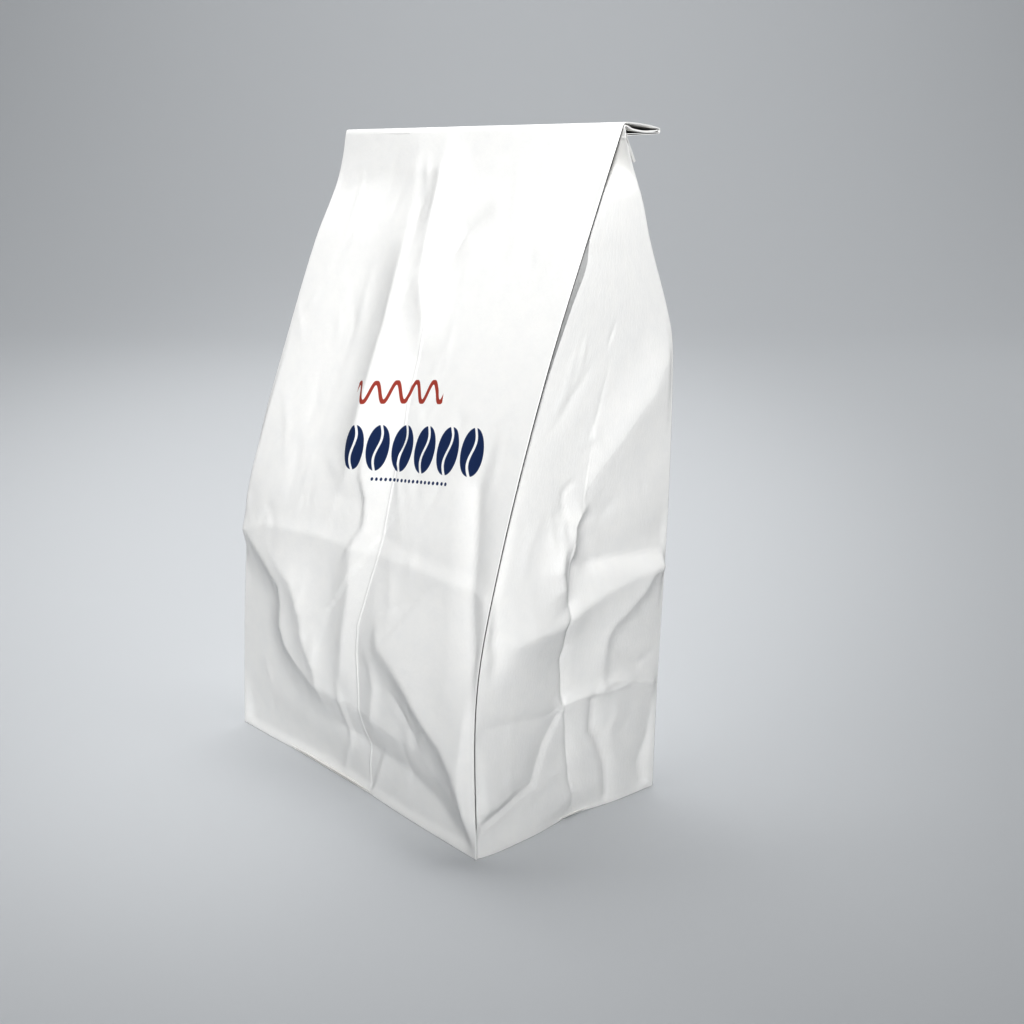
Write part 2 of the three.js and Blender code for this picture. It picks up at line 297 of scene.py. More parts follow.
# Creases of the front panel. The contents press out two ridges: one runs from the middle of the panel to
# the lower right corner, and one from the left edge across the middle to the same corner.
FRONT_CREASES = (
    Crease(CENTRE_RUN, -0.7, 10, 9, (0.1, 0.3, 0.3, 0.4) + (0.6,) * 4 + (0.9,) * 6 + (0.6,) * 5 +
           (0.2, 0)),
    Crease(CENTRE_RUN, 0.2, 0.6, 0.5, (1,) * 19 + (0.3, 0)),
    # lower right
    Crease(((11.5, 62), (13.3, 50), (18.5, 43.4), (26, 40.2), (31, 37.2), (36, 33.3), (40, 30), (45, 27),
           (49.5, 21.5), (53.2, 12)), 3.1, 28, 12.5, (0, 0.25, 0.7, 0.9, 1, 1, 1, 1, 1, 0.9), 0.6),
    Crease(((23.8, 32.9), (29.1, 28.4), (33, 24.4)), -0.45, 1.2, 3.5, (0.7, 1, 0.4)),
    Crease(((-12.9, 14), (-4, 15.5), (4, 15.5), (14, 14), (26, 13.5), (38, 9.5), (48, 3)), -1.1, 8, 10,
           (0.4, 0.8, 1, 1, 1, 0.8, 0.4), 0.5),
    Crease(((43, 99), (41.4, 90), (40.5, 86.5), (43.4, 77), (46, 66.4), (48.4, 57.6), (51, 49.7),
           (53.6, 39)), -1.3, 8, 8, (0.1, 0.6, 0.9, 1, 1, 1, 1, 0.6), 0.3),
    # lower left
    Crease(((-53, 60.5), (-43.5, 55.5), (-34.5, 51), (-29.3, 48), (-27.7, 42.5), (-28, 37), (-25, 32.5),
           (-19, 28.5), (-12, 25.5), (-3, 24.5), (8, 24.5), (20, 22.5), (32, 21.5), (43, 15.5), (55, 4)),
           3.4, 75, 13, (0.7, 0.9) + (1,) * 5 + (0.9, 0.75, 0.6, 0.5, 0.45, 0.35, 0.2, 0), 0.4),
    Crease(((-40, 58), (-32, 54), (-26, 51.5), (-22.5, 50), (-20, 46.5), (-17.3, 42.5), (-16.3, 37.5),
           (-13.3, 33.5), (-10.2, 30), (-9.2, 25.5), (-8, 20)), 1.4, 13, 9, (0, 0.4, 0.8, 1, 1, 1, 1, 1,
           1, 0.8, 0.2), 0.15),
    # middle
    Crease(((1.6, 64), (2, 55.8), (2.2, 49.2), (1.8, 41.3), (1.6, 33.3), (1, 26.6)), 1.5, 12, 11, (0.6, 1,
           1, 1, 0.8, 0.2), 0.4),
    Crease(((8.2, 44), (14, 37.4), (15.8, 31.7), (15, 25.4), (14, 20)), 0.75, 4, 7, (0, 0.6, 1, 0.9, 0.2),
           0.2),
    Crease(((-0.4, 29), (0.6, 26), (1.4, 22.5), (1.2, 18), (1.5, 13.5), (1.2, 11), (-1.6, 7.4),
           (-4, 2.4)), 0.5, 2.4, 2.0, (0.3, 0.7, 1, 1, 1, 1, 0.9, 0.6)),
    Crease(((16.5, 14), (13, 6.8), (9.8, 0.6)), 0.55, 6, 1.5, (0.6, 1, 1)),
    Crease(((-3, 90), (-1.5, 82), (2, 77.2), (3.4, 72.6), (3.7, 69.6), (1.4, 66.4)), 1.0, 12, 2.2, (0,
           0.7, 1, 1, 1, 0.8)),
    # the fold left by the sheet's flat state, level across the panel
    Crease(((-52.4, 58.5), (-39.3, 62.8), (-16, 64.6), (-8.3, 64.6), (9.2, 64.4), (27, 64.6), (47, 63.6),
           (54, 62)), 0.5, 5, 10, (1, 1, 1, 1, 0.8, 0.7, 0.8, 1)),
    Crease(((12.6, 69), (26.8, 67.4), (45.6, 67)), -0.14, 3, 3, (1, 0.8, 0.4)),
    Crease(((-42, 61), (-39.6, 67.5), (-34, 62.5)), -0.3, 3, 3, (0.3, 1, 0.3)),
    # upper left
    Crease(((-19, 167), (-17.5, 158), (-14.5, 150), (-12, 143), (-9.8, 136.1), (-8.6, 130.1),
           (-7.8, 120.2), (-7.8, 110.2), (-7.6, 100.3), (-7.4, 90.4), (-8, 76)), 2.8, 22, 12, (0.3, 0.25,
           0.2, 0.35, 0.8, 1, 1, 1, 1, 0.9, 0), 0.5),
    Crease(((-27, 146), (-27, 132), (-26, 88)), -0.7, 12, 20, (0.4, 1, 0.8), 4.0),
    Crease(((-52, 150.5), (-40.6, 154.2), (-29, 156.5)), -0.5, 9, 10, (1, 1, 0.3)),
    Crease(((-20, 99), (-31.8, 87.5), (-46, 74)), 0.7, 15, 14, (0.5, 1, 1), 3.0),
    Crease(((-42.7, 168), (-40.8, 167), (-38.2, 165.2)), -0.3, 1.5, 2.2),
    # upper middle
    Crease(((-6.6, 165), (-5.4, 158), (-4.2, 153), (-2.3, 146), (-0.2, 139), (1.8, 132), (3.4, 128),
           (5.9, 122.8), (6.6, 112)), 2.1, 10, 11, (0.4, 0.9, 1, 1, 1, 1, 1, 0.8, 0), 0.3),
    Crease(((-9, 152), (-10.5, 146.5), (-9, 140)), -0.7, 3.5, 4, (0, 1, 0), 0.4),
    Crease(((-15, 163), (-12, 157), (-9.5, 152)), 0.35, 2.5, 2, (0, 1, 0)),
    Crease(((19, 149), (10, 142.5), (7, 137), (5.4, 133), (5, 129.5)), -1.8, 7, 7, (0, 0.8, 1, 1, 0),
           0.3),
    Crease(((52.4, 147), (52.2, 165)), -0.12, 0.9, 0.9),
)

# The gusset's middle fold, and the slanting fold of the block base in front of it, as height and place
# across.
GUSSET_FOLD: Knots = (
    (0, 31.6), (4, 31.3), (10.7, 30.6), (17.7, 30), (24, 29.8), (30.8, 28.8), (33.6, 28.4), (39, 27.7),
    (43.5, 26.6), (47, 26.7), (51.4, 25.8), (54.9, 26.2), (61, 25), (65.5, 23.9), (69, 24), (72.5, 25.5),
    (76, 25.3), (79, 26.8), (84, 27.5), (96, 28.4), (120, 30.2), (168, 30.2),
)
NEAR_SLANT: Knots = (
    (0, 0), (6.3, 1.2), (9.3, 7.5), (12, 13.4), (13.6, 18.4), (17.7, 20.1), (23, 22.3), (27, 25.8),
    (30.8, 30.2),
)

# Creases of the right gusset: a long ridge at a third of the height, above it a hollow by the back edge,
# and a pinched fold in the middle.
RIGHT_CREASES = (
    Crease(((3, 46), (6, 48.8), (8.9, 50.5), (15.5, 52.3), (23.9, 52.3), (26.5, 53.8), (33.5, 56.7),
           (39.1, 58.5), (47.5, 60.2), (60.2, 61.3)), 1.3, 11, 17, (0, 0.05, 0.2, 0.5, 0.8) + (1,) * 5,
           0.3),
    Crease(((1, 48), (8.9, 50.8), (15.5, 52.3), (24, 53), (36, 58), (60, 61)), 2.5, 44, 15, (0.1, 0.5,
           0.8, 0.8, 0.3, 0), 0.5),
    Crease(((2.4, 63), (5, 54), (6, 49.7), (5, 42)), -1.5, 5, 5.5, (0.3, 1, 1, 0), 0.4),
    Crease(((28.5, 65.3), (32, 66.2), (36.9, 66.4), (49.5, 65.5), (60.3, 64.6)), -1.4, 14, 5, (0, 0.8, 1,
           1, 0.8)),
    Crease(((60.1, 115.6), (55.3, 110.3), (51.7, 105), (45.4, 100.6), (39.3, 94.5), (32.5, 89.2),
           (28.5, 84.5), (27, 80.5)), 1.1, 15, 13, (0.3, 0.8, 1, 1, 1, 1, 0.8, 0.5), 1.5),
    # the pinched fold
    Crease(((30, 80.8), (26.8, 78.9), (25.4, 76), (25.6, 72.5), (25.3, 69.7)), 1.7, 4.8, 9, (0.2, 1, 1, 1,
           0.9)),
    Crease(((21.6, 70.4), (21.2, 66.5), (22.8, 62), (25.4, 57.5)), 2.6, 7.5, 9, (0.7, 1, 0.9, 0)),
    Crease(((22.8, 86.6), (20, 84.8), (20.1, 83.1), (21.9, 78.7), (23.8, 73.4)), -0.35, 2.0, 1.2),
    Crease(((20.9, 73.4), (25.6, 72.5)), -0.3, 1.0, 1.0, (0.4, 1)),
    Crease(((25.2, 60), (26.3, 54.9), (25.8, 51.4), (26.7, 47), (26.4, 43.5), (27.7, 39.1), (28.4, 33.6),
           (28.8, 30.8)), -0.6, 3.6, 1.6, (0.4, 0.5, 0.6, 0.9, 1, 1, 0.9, 0.5)),
    # the slanting folds that meet at its foot
    Crease(((60.2, 61), (54.1, 60.2), (51.4, 55.8), (46.9, 52.3), (41.3, 48.8), (39.8, 46.1),
           (39.5, 40.9), (39.9, 32.5)), 1.1, 5, 10, (1, 1, 0.9, 0.8, 0.9, 1, 1, 0.5)),
    Crease(((28.4, 30.8), (25.8, 27), (22.2, 23), (20.1, 17.7), (18.4, 13.6), (13.4, 12), (7.5, 9.3),
           (-1, 6)), -0.9, 0.9, 6.5, (0.4, 0.7, 0.8, 0.8, 0.8, 0.8, 0.9, 1)),
    Crease(((19, 15), (12.5, 14), (6.5, 12.4), (-1, 11)), 1.8, 6, 22, (0, 0.5, 1, 0.9), 0.4),
    Crease(((28.4, 30.8), (33.3, 32), (39, 32), (41.9, 31.6), (49.4, 32.3), (60.3, 29.1)), 0.8, 5, 8),
    Crease(((38.5, 32.5), (44, 34), (49, 32.6)), 0.7, 4, 3, (0.4, 1, 0.4)),
    Crease(((46, 40), (52, 36.5), (57, 38)), -0.5, 3, 3, (0.2, 1, 0.4)),
    Crease(((1.2, 32.5), (10.5, 31.6), (25.5, 29.5)), -0.4, 3.0, 8, (0.4, 1, 1), 0.4),
    # below them
    Crease(((29.1, 29.1), (29.8, 24), (30, 17.7), (30.6, 10.7), (32.1, 3.4)), -0.6, 5, 2.0, (0.4, 0.8, 1,
           1, 0.6)),
    Crease(((37.3, 30.5), (38.1, 22.1), (39.8, 19.5), (42.6, 12.4), (43.2, 7.2), (43.6, 1)), -1.4, 4.5,
           3.2, (0.8, 1, 1, 0.8, 0.7, 0.5)),
    Crease(((44, 31), (45.5, 25), (43, 20), (46, 11)), 0.4, 6, 3, (0.3, 1, 1, 0.3)),
    Crease(((59.4, 24), (57.6, 14), (55.4, 8), (56.9, 1)), -1.1, 4, 8, (0.2, 0.8, 1, 0.8)),
)

# Creases of the left gusset: the level fold of the block base, a long fold above it, and what handling
# left. No photo shows this side, so they are made up.
LEFT_CREASES = (
    Crease(((0, 31), (12, 32), (30, 31), (44, 31.5), (60, 30)), 0.9, 7, 9, (1, 0.8, 1, 0.7, 1)),
    Crease(((3, 52), (14, 50), (24, 53), (38, 55), (60, 60)), 1.4, 20, 13, (0.2, 0.8, 1, 1, 0.8), 0.5),
    Crease(((58, 96), (46, 84), (36, 76), (31, 62)), 1.3, 12, 9, (0.2, 1, 1, 0.4), 0.8),
    Crease(((10, 84), (15, 70), (24, 60)), -1.0, 9, 7, (0, 1, 0.3), 0.5),
    Crease(((46, 52), (41, 42), (43, 31)), -1.2, 7, 6, (0.4, 1, 0.3), 0.2),
    Crease(((10, 44), (13, 36), (11, 24), (15, 8)), 0.8, 4, 7, (0, 1, 0.9, 0.3), 0.2),
    Crease(((38, 29), (40, 18), (37, 9), (39, 1)), -0.8, 4, 3, (0.5, 1, 0.8, 0.4)),
    Crease(((30, 30), (20, 19), (10, 9), (0, 0)), -0.5, 1.5, 5, (0.4, 0.8, 1, 1)),
)

# Creases of the back panel, made up as well: its glued seam, the level folds, and what the contents press
# out.
BACK_CREASES = (
    Crease(((12, 0), (12, 60), (12, 120), (12, 168)), 0.22, 0.5, 6),
    Crease(((-54, 30.2), (-20, 31.2), (10, 30.4), (54, 30.2)), 0.9, 9, 9, (1, 0.8, 0.9, 1)),
    Crease(((-54, 64), (-20, 65.4), (20, 64.6), (54, 63)), 0.5, 5, 9, (1, 0.7, 0.8, 1)),
    Crease(((-30, 140), (-22, 120), (-12, 92), (-20, 60), (-14, 34)), -1.6, 8, 16, (0, 0.6, 1, 1, 0.2),
           0.4),
    Crease(((34, 152), (26, 130), (22, 112), (30, 84), (22, 50)), -1.4, 15, 7, (0, 0.6, 1, 1, 0), 0.4),
    Crease(((52, 62), (40, 52), (32, 44), (27, 34), (12, 24)), 2.2, 12, 26, (0.6, 1, 1, 0.8, 0), 0.5),
    Crease(((-52, 52), (-42, 44), (-36, 34), (-22, 26)), 1.8, 22, 10, (0.6, 1, 1, 0), 0.5),
    Crease(((-10, 58), (-4, 46), (-8, 34)), 1.0, 4, 9, (0, 1, 0.2), 0.3),
    Crease(((4, 26), (8, 14), (4, 2)), -0.8, 3, 6, (0.2, 1, 0.7)),
    Crease(((-38, 26), (-32, 14), (-36, 3)), 0.7, 7, 3, (0.2, 1, 0.7)),
    Crease(((-44, 110), (-36, 96), (-38, 78)), 0.9, 6, 12, (0, 1, 0), 0.8),
)


def crease_lines(creases: Sequence[Crease], across: np.ndarray, up: np.ndarray, reach: float) -> np.ndarray:
    """Marks the lines of several creases.

    Args:
        creases: The creases; a faint one is marked faintly.
        across: Distance across the panel in mm.
        up: Height on the panel in mm.
        reach: Distance from a line at which its mark ends, in mm.

    Returns:
        From 0 away from the lines to 1 on them.
    """
    marks = np.zeros(across.shape)
    for crease in creases:
        marks = np.maximum(marks, crease.line(across, up, reach) * min(1.0, abs(crease.height)))
    return marks


@dataclass
class PaperShell:
    """The bag's paper: a tube of four panels from the base to the mouth, sizes in mm."""

    panel_width: float = 108.0
    gusset_width: float = 60.4
    body_top: float = 167.3
    edges: UprightEdges = field(default_factory=UprightEdges)
    crumples: Sequence[tuple[Panel, Crumple]] = (
        (Panel.FRONT, Crumple((-50, 46, 2, 150), 80, (1.4, 5), (1.4, 5), 0.27)),
        (Panel.RIGHT, Crumple((3, 57, 2, 120), 46, (1.4, 5), (1.4, 5), 0.27, lean=0.9)),
        (Panel.BACK, Crumple((-50, 46, 2, 150), 50, (3, 9), (3, 9), 0.35)),
        (Panel.LEFT, Crumple((3, 57, 2, 120), 30, (3, 8), (3, 8), 0.3, lean=0.9)),
    )

    # how the contents press the paper out of the flat panels
    front_bulge: float = 0.6
    back_bulge: float = 4.2
    flank_bulge: tuple[float, float] = (1.2, 1.3)
    bulge_foot: float = 24.0
    bulge_full: float = 40.0
    bulge_top: float = 120.0

    # how the lower edges leave the straight line, and the rim along the front one, above which the paper
    # lies back a little
    front_foot: Foot = Foot(-9, 1.6, 23, 15)
    right_feet: Sequence[Foot] = (Foot(6, -0.7, 6, 6), Foot(15, -0.5, 8, 8), Foot(33, 1.6, 9, 7))
    foot_hold: float = 2.5
    rim_depth: float = 0.8
    rim_rise: float = 2.8
    rim_fade: tuple[float, float] = (4.0, 14.0)
    rim_ends: float = 5.0

    # the fold of the gussets: loose and shallow at the base, and tucked in as far as it goes higher up
    loose_tuck: float = 4.4
    tuck_from: float = 50.0
    tuck_to: float = 84.0
    # the stretch of a gusset that stays beside each upright edge, at most a fifth of the room there
    lip: float = 0.3
    lips_in_room: float = 5.0
    # the inset reaches full depth over at least this share of a half gusset
    least_flat: float = 0.04
    # the right gusset first dives in behind the front edge by so much, turned so many degrees from straight
    # back, and then crosses to the back edge
    dive: Knots = (
        (0, 0.4), (30, 0.4), (38, 0.7), (54, 1.6), (67, 2.4), (84, 3.4), (100, 4.2), (110, 4.6),
        (118, 4.6), (128, 4.2), (137, 4.2), (143, 2.6), (152, 2.6),
    )
    dive_turn: Knots = (
        (0, 51), (98, 50), (104, 47), (110, 43), (118, 38), (128, 31), (137, 25), (144, 42), (152, 46),
    )
    fold_from: float = 152.0
    fold_to: float = 166.0
    middle_inset: Knots = (
        (0, 0), (8, 0.2), (31, 1.3), (41, 0.7), (54, 0.1), (67, 0.5), (84, 0.4), (100, 0),
    )
    least_middle: float = 0.35

    # the folded-over top
    strip_neck_heading: float = 73.0
    strip_outer: float = 0.31
    strip: Sequence[StripPiece] = (
        StripPiece(0.35, 0, 1),
        StripPiece(0.9, -73, 9),
        StripPiece(10.7, -12, 18),
        StripPiece(1.15, -165, 13),
        StripPiece(10.0, 0, 10),
        StripPiece(1.1, 116, 9),
        StripPiece(6, 0, 7),
    )
    strip_depth: Knots = (
        (0, 0.8), (1.2, 0.95), (3.4, 1.75), (7.5, 1.85), (10.6, 1.25), (12, 0.6), (13.1, 0.45),
        (15, 0.5), (22, 0.5), (30.6, 0.45),
    )
    strip_lip: float = 0.42
    lips_in_strip: float = 3.0

    # where the front and back lie closer together than the room, the relief dies away to the least; it is
    # also held back beside the upright edges and at the base
    panel_room: float = 7.0
    least_panel_relief: float = 0.1
    gusset_room: float = 12.0
    least_gusset_relief: float = 0.05
    edge_hold: float = 2.6
    gusset_hold: float = 2.6
    base_hold: float = 3.0
    edge_round: float = 0.3
    crease_mark: float = 1.2

    # how the mesh is divided, in mm and for the right gusset in shares of a half
    front_places: tuple[float, float, float] = (-54.0, 7.0, 54.0)
    front_steps: Steps = (0.16, 0.95, 4.0)
    back_steps: Steps = (0.3, 2.0, 6.0)
    left_steps: Steps = (0.25, 1.6, 5.0)
    near_steps: Steps = (0.011, 0.034, 0.14)
    far_steps: Steps = (0.007, 0.030, 0.14)
    row_steps: Steps = (0.3, 0.88, 6.0)
    lip_columns: tuple[int, int] = (4, 3)
    dive_columns: int = 12

    # set by build()
    random: dict[Panel, list[Crease]] = field(init=False)
    front_columns: np.ndarray = field(init=False)
    back_columns: np.ndarray = field(init=False)
    left_columns: np.ndarray = field(init=False)

    def build(self) -> bpy.types.Object:
        """Makes the shell.

        Returns:
            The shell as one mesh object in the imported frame.
        """
        rng = np.random.default_rng(SEED)
        self.random = {panel: crumple.creases(rng) for panel, crumple in self.crumples}
        half, full = self.gusset_width / 2, self.gusset_width
        self.front_columns = graded(self.front_places, *self.front_steps)
        self.back_columns = graded((self.front_places[0], self.front_places[-1]), *self.back_steps)
        self.left_columns = graded((0, half, full), *self.left_steps)
        rows = graded((0.0, half, self.body_top), *self.row_steps)[:, None]
        body = self.body_points(rows)
        strip = self.strip_points(body[1][-1, :, 3])
        parts = [np.concatenate([b, s]) for b, s in zip(body, strip)]
        return self.mesh(parts)

    def fill(self, z: np.ndarray) -> np.ndarray:
        """How strongly the contents press outwards at a height, from 0 to 1."""
        fading = ease((z - self.bulge_full) / (self.bulge_top - self.bulge_full))
        return ease(z / self.bulge_foot) * (1 - fading)

    def hold(self, from_edge: np.ndarray, z: np.ndarray) -> np.ndarray:
        """Fades relief out beside the upright edges and at the base."""
        return ease(from_edge / self.edge_hold) * ease(z / self.base_hold)

    def front_x(self, z: np.ndarray) -> np.ndarray:
        """Places the front panel's columns, one of which follows the long middle fold.

        Args:
            z: Column of heights in mm.

        Returns:
            X of each column at each height, in mm.
        """
        low, fold, high = self.front_places
        crease = along(CENTRE_FOLD, z)
        left = low + (self.front_columns - low) * (crease - low) / (fold - low)
        right = high - (high - self.front_columns) * (high - crease) / (high - fold)
        return np.where(self.front_columns < fold, left, right)

    def with_sheet(
        self, x: np.ndarray, y: np.ndarray, z: np.ndarray, across: np.ndarray, creases: Sequence[Crease],
    ) -> np.ndarray:
        """Joins points with their places on the flat sheet and the marks of the creases.

        Args:
            x: X in mm.
            y: Y in mm.
            z: Column of heights in mm.
            across: Distance across the panel in mm.
            creases: The creases that the material marks.

        Returns:
            An array of rows by columns by x, y, z, across, up, crease.
        """
        up = np.broadcast_to(z, across.shape)
        marks = crease_lines(creases, across, up, self.crease_mark)
        return np.stack([x, y, up, across, up, marks], axis=-1)

    def broad_panel(
        self, x: np.ndarray, z: np.ndarray, creases: Sequence[Crease], bulge: float,
    ) -> tuple[np.ndarray, np.ndarray, np.ndarray, np.ndarray, np.ndarray]:
        """Works out what the front and the back panel have in common.

        Args:
            x: X of the columns in mm.
            z: Column of heights in mm.
            creases: The panel's creases.
            bulge: How far the contents press its middle out, in mm.

        Returns:
            Share of the width, distance from the nearer edge, how far the contents press the paper out, the
            relief, and how much room there is for it.
        """
        u = (x + self.panel_width / 2) / self.panel_width
        from_edge = np.minimum(u, 1 - u) * self.panel_width
        room = self.edges.back(z, u) - self.edges.front(z, u)
        pressed = bulge * self.fill(z) * (1 - (2 * u - 1) ** 2)
        relief = relief_of(creases, x, np.broadcast_to(z, x.shape)) * self.hold(from_edge, z)
        return u, from_edge, pressed, relief, np.clip(room / self.panel_room, self.least_panel_relief, 1)

    def body_points(self, z: np.ndarray) -> list[np.ndarray]:
        """Points of the four panels at heights up to the neck.

        Args:
            z: Column of heights in mm.

        Returns:
            One array for each panel, of rows by columns by x, y, z, across, up, crease.
        """
        x = self.front_x(z)
        creases = [*FRONT_CREASES, *self.random[Panel.FRONT]]
        u, from_edge, pressed, relief, loose = self.broad_panel(x, z, creases, self.front_bulge)
        rim_top = 1 - ease((z - self.rim_fade[0]) / self.rim_fade[1])
        recess = self.rim_depth * ease(z / self.rim_rise) * rim_top * ease(from_edge / self.rim_ends)
        foot = self.front_foot.push(x, z) * ease(from_edge / self.edge_hold)
        fold = self.edge_round * (1 - np.sqrt(1 - np.clip(1 - from_edge / self.edge_round, 0, 1) ** 2))
        y = self.edges.front(z, u) - pressed - (relief - recess) * loose + foot + fold
        front = self.with_sheet(x, y, z, x, FRONT_CREASES)

        x = np.broadcast_to(self.back_columns, (len(z), len(self.back_columns)))
        creases = [*BACK_CREASES, *self.random[Panel.BACK]]
        u, _, pressed, relief, loose = self.broad_panel(x, z, creases, self.back_bulge)
        back = self.with_sheet(x, self.edges.back(z, u) + pressed + relief * loose, z, x, BACK_CREASES)
        return [front, self.right_gusset(z), back[:, ::-1], self.left_gusset(z)[:, ::-1]]

    def tuck(self, room: np.ndarray, z: np.ndarray) -> np.ndarray:
        """Works out how deep a gusset is tucked in.

        Args:
            room: Distance between the front and the back at the gusset, in mm.
            z: Column of heights in mm.

        Returns:
            How far the gusset's middle sits inside the upright edges, in mm.
        """
        half = self.gusset_width / 2
        folded = np.sqrt(half**2 - np.minimum(room / 2, half) ** 2)
        loose = self.loose_tuck * np.minimum(1, z / half)
        return loose + (folded - loose) * ease((z - self.tuck_from) / (self.tuck_to - self.tuck_from))

    def right_gusset(self, z: np.ndarray) -> np.ndarray:
        """Points of the right gusset from front to back, without its two upright edges.

        Args:
            z: Column of heights in mm.

        Returns:
            An array of rows by columns by x, y, z, across, up, crease.
        """
        y_front, y_back = self.edges.front(z, 1.0), self.edges.back(z, 1.0)
        room = y_back - y_front
        half, full = self.gusset_width / 2, self.gusset_width
        lip = np.minimum(self.lip, room / self.lips_in_room)
        side = self.panel_width / 2
        depth = self.tuck(room, z)
        folding = ease((z - self.fold_from) / (self.fold_to - self.fold_from))
        dive = along(self.dive, z)
        turn = np.radians(along(self.dive_turn, z))
        low_x = (side - np.sin(turn) * dive) * (1 - folding) + (side - depth) * folding
        low_y = (y_front + lip + np.cos(turn) * dive) * (1 - folding) + (y_front + y_back) / 2 * folding
        start = lip + dive
        middle = np.maximum((along(GUSSET_FOLD, z) - start) / (full - lip - start), self.least_middle)
        edge = side + 0 * z
        knots_x = [edge, edge, low_x, low_x + (side - low_x) * middle, edge, edge]
        far_y = y_back - lip
        knots_y = [y_front, y_front + lip, low_y, low_y + (far_y - low_y) * middle, far_y, y_back]
        across_middle = start + (full - lip - start) * middle
        knots_a = [0 * z, lip, start, across_middle, full - lip, full + 0 * z]
        # the halves in front of and behind the middle fold, as places in the list
        near, far = 2, 3
        shares = [
            np.linspace(0, 1, self.lip_columns[0] + 1)[1:],
            ease(np.linspace(0, 1, self.dive_columns + 1))[1:],
            graded((0, 1), *self.near_steps)[1:],
            graded((0, 1), *self.far_steps)[1:],
            np.linspace(0, 1, self.lip_columns[1] + 1)[1:-1],
        ]
        rows = []
        for k, share in enumerate(shares):
            blend = [knots[k] + (knots[k + 1] - knots[k]) * share for knots in (knots_x, knots_y, knots_a)]
            to_middle = {near: share, far: 1 - share}.get(k)
            if to_middle is not None:
                flat_from = along(NEAR_SLANT, z) / half if k == near else np.minimum(1, z / half)
                flat_share = np.minimum(1, to_middle / np.maximum(flat_from, self.least_flat))
                inset = along(self.middle_inset, z) * flat_share
                bulge = self.flank_bulge[k - near] * self.fill(z) * ease(z / half) * 4 * share * (1 - share)
                blend[0] = blend[0] - inset + bulge
            rows.append(np.stack(blend, axis=-1))
        points = np.concatenate(rows, axis=1)
        x, y, across = points[..., 0], points[..., 1], points[..., 2]
        up = np.broadcast_to(z, across.shape)
        from_edge = np.minimum(across - start, full - across)
        hold = ease(from_edge / self.gusset_hold) * ease(z / self.base_hold)
        relief = relief_of([*RIGHT_CREASES, *self.random[Panel.RIGHT]], across, up) * hold
        ends = ease(np.minimum(across, full - across) / self.foot_hold)
        foot = sum(f.push(across, z) for f in self.right_feet) * ends
        x = x + relief * np.clip(room / self.gusset_room, self.least_gusset_relief, 1) - foot
        return self.with_sheet(x, y, z, across, RIGHT_CREASES)

    def left_gusset(self, z: np.ndarray) -> np.ndarray:
        """Points of the left gusset from front to back, without its two upright edges.

        Args:
            z: Column of heights in mm.

        Returns:
            An array of rows by columns by x, y, z, across, up, crease.
        """
        columns = self.left_columns[1:-1]
        y_front, y_back = self.edges.front(z, 0.0), self.edges.back(z, 0.0)
        room = y_back - y_front
        half = self.gusset_width / 2
        lip = np.minimum(self.lip, room / self.lips_in_room)
        across = np.broadcast_to(columns, (len(z), len(columns)))
        in_front = across <= half
        from_edge = np.minimum(across, self.gusset_width - across)
        share = np.clip((from_edge - lip) / (half - lip), 0, 1)
        run = np.minimum(from_edge, lip) + (room / 2 - lip) * share
        y = np.where(in_front, y_front + run, y_back - run)
        flat_from = np.maximum(np.minimum(1, z / half), self.least_flat)
        bulge = np.where(in_front, *self.flank_bulge) * self.fill(z) * ease(z / half)
        bulge = bulge * 4 * share * (1 - share)
        up = np.broadcast_to(z, across.shape)
        relief = relief_of([*LEFT_CREASES, *self.random[Panel.LEFT]], across, up) * self.hold(from_edge, z)
        inset = self.tuck(room, z) * np.minimum(1, share / flat_from) - bulge
        loose = np.clip(room / self.gusset_room, self.least_gusset_relief, 1)
        x = -(self.panel_width / 2 - inset + relief * loose)
        return self.with_sheet(x, y, z, across, LEFT_CREASES)

    def strip_points(self, right_columns: np.ndarray) -> list[np.ndarray]:
        """Points of the four panels along the folded-over top.

        Args:
            right_columns: Places of the right gusset's columns across it, in mm.

        Returns:
            One array for each panel, of rows by columns by x, y, z, across, up, crease.
        """
        half = self.panel_width / 2
        corner = {
            (name, u): float(getattr(self.edges, name)(np.array(self.body_top), u))
            for name in ("front", "back") for u in (0.0, 1.0)
        }
        skew = (corner["front", 1.0] + corner["back", 1.0] - corner["front", 0.0] - corner["back", 0.0]) / 4
        y, z = sum(corner.values()) / 4, self.body_top
        heading, travel = math.radians(self.strip_neck_heading), 0.0
        stations = []
        for piece in self.strip:
            turn = math.radians(piece.turn) / piece.rows
            advance = piece.length / piece.rows
            for _ in range(piece.rows):
                y += advance * math.cos(heading + turn / 2)
                z += advance * math.sin(heading + turn / 2)
                heading += turn
                travel += advance
                stations.append((y, z, heading, travel))
        ys, zs, headings, travels = (np.array(v)[:, None] for v in zip(*stations))
        depth = along(self.strip_depth, travels)
        front_off, back_off = self.strip_outer, self.strip_outer - depth
        lip = np.minimum(self.strip_lip, depth / self.lips_in_strip)
        middle_off = (front_off + back_off) / 2

        def place(x: np.ndarray, off: np.ndarray, across: np.ndarray) -> np.ndarray:
            """Puts columns of a panel along the strip.

            Args:
                x: X of the columns in mm.
                off: Distance off the strip's line in mm.
                across: Distance across the panel in mm.

            Returns:
                An array of rows by columns by x, y, z, across, up, crease.
            """
            x = np.broadcast_to(x, np.broadcast_shapes(x.shape, ys.shape))
            off = np.broadcast_to(off, x.shape)
            up = np.broadcast_to(self.body_top + travels, x.shape)
            across = np.broadcast_to(across, x.shape)
            return np.stack([
                x,
                ys + skew * x / half - off * np.sin(headings),
                zs + off * np.cos(headings),
                across,
                up,
                np.zeros(x.shape),
            ], axis=-1)

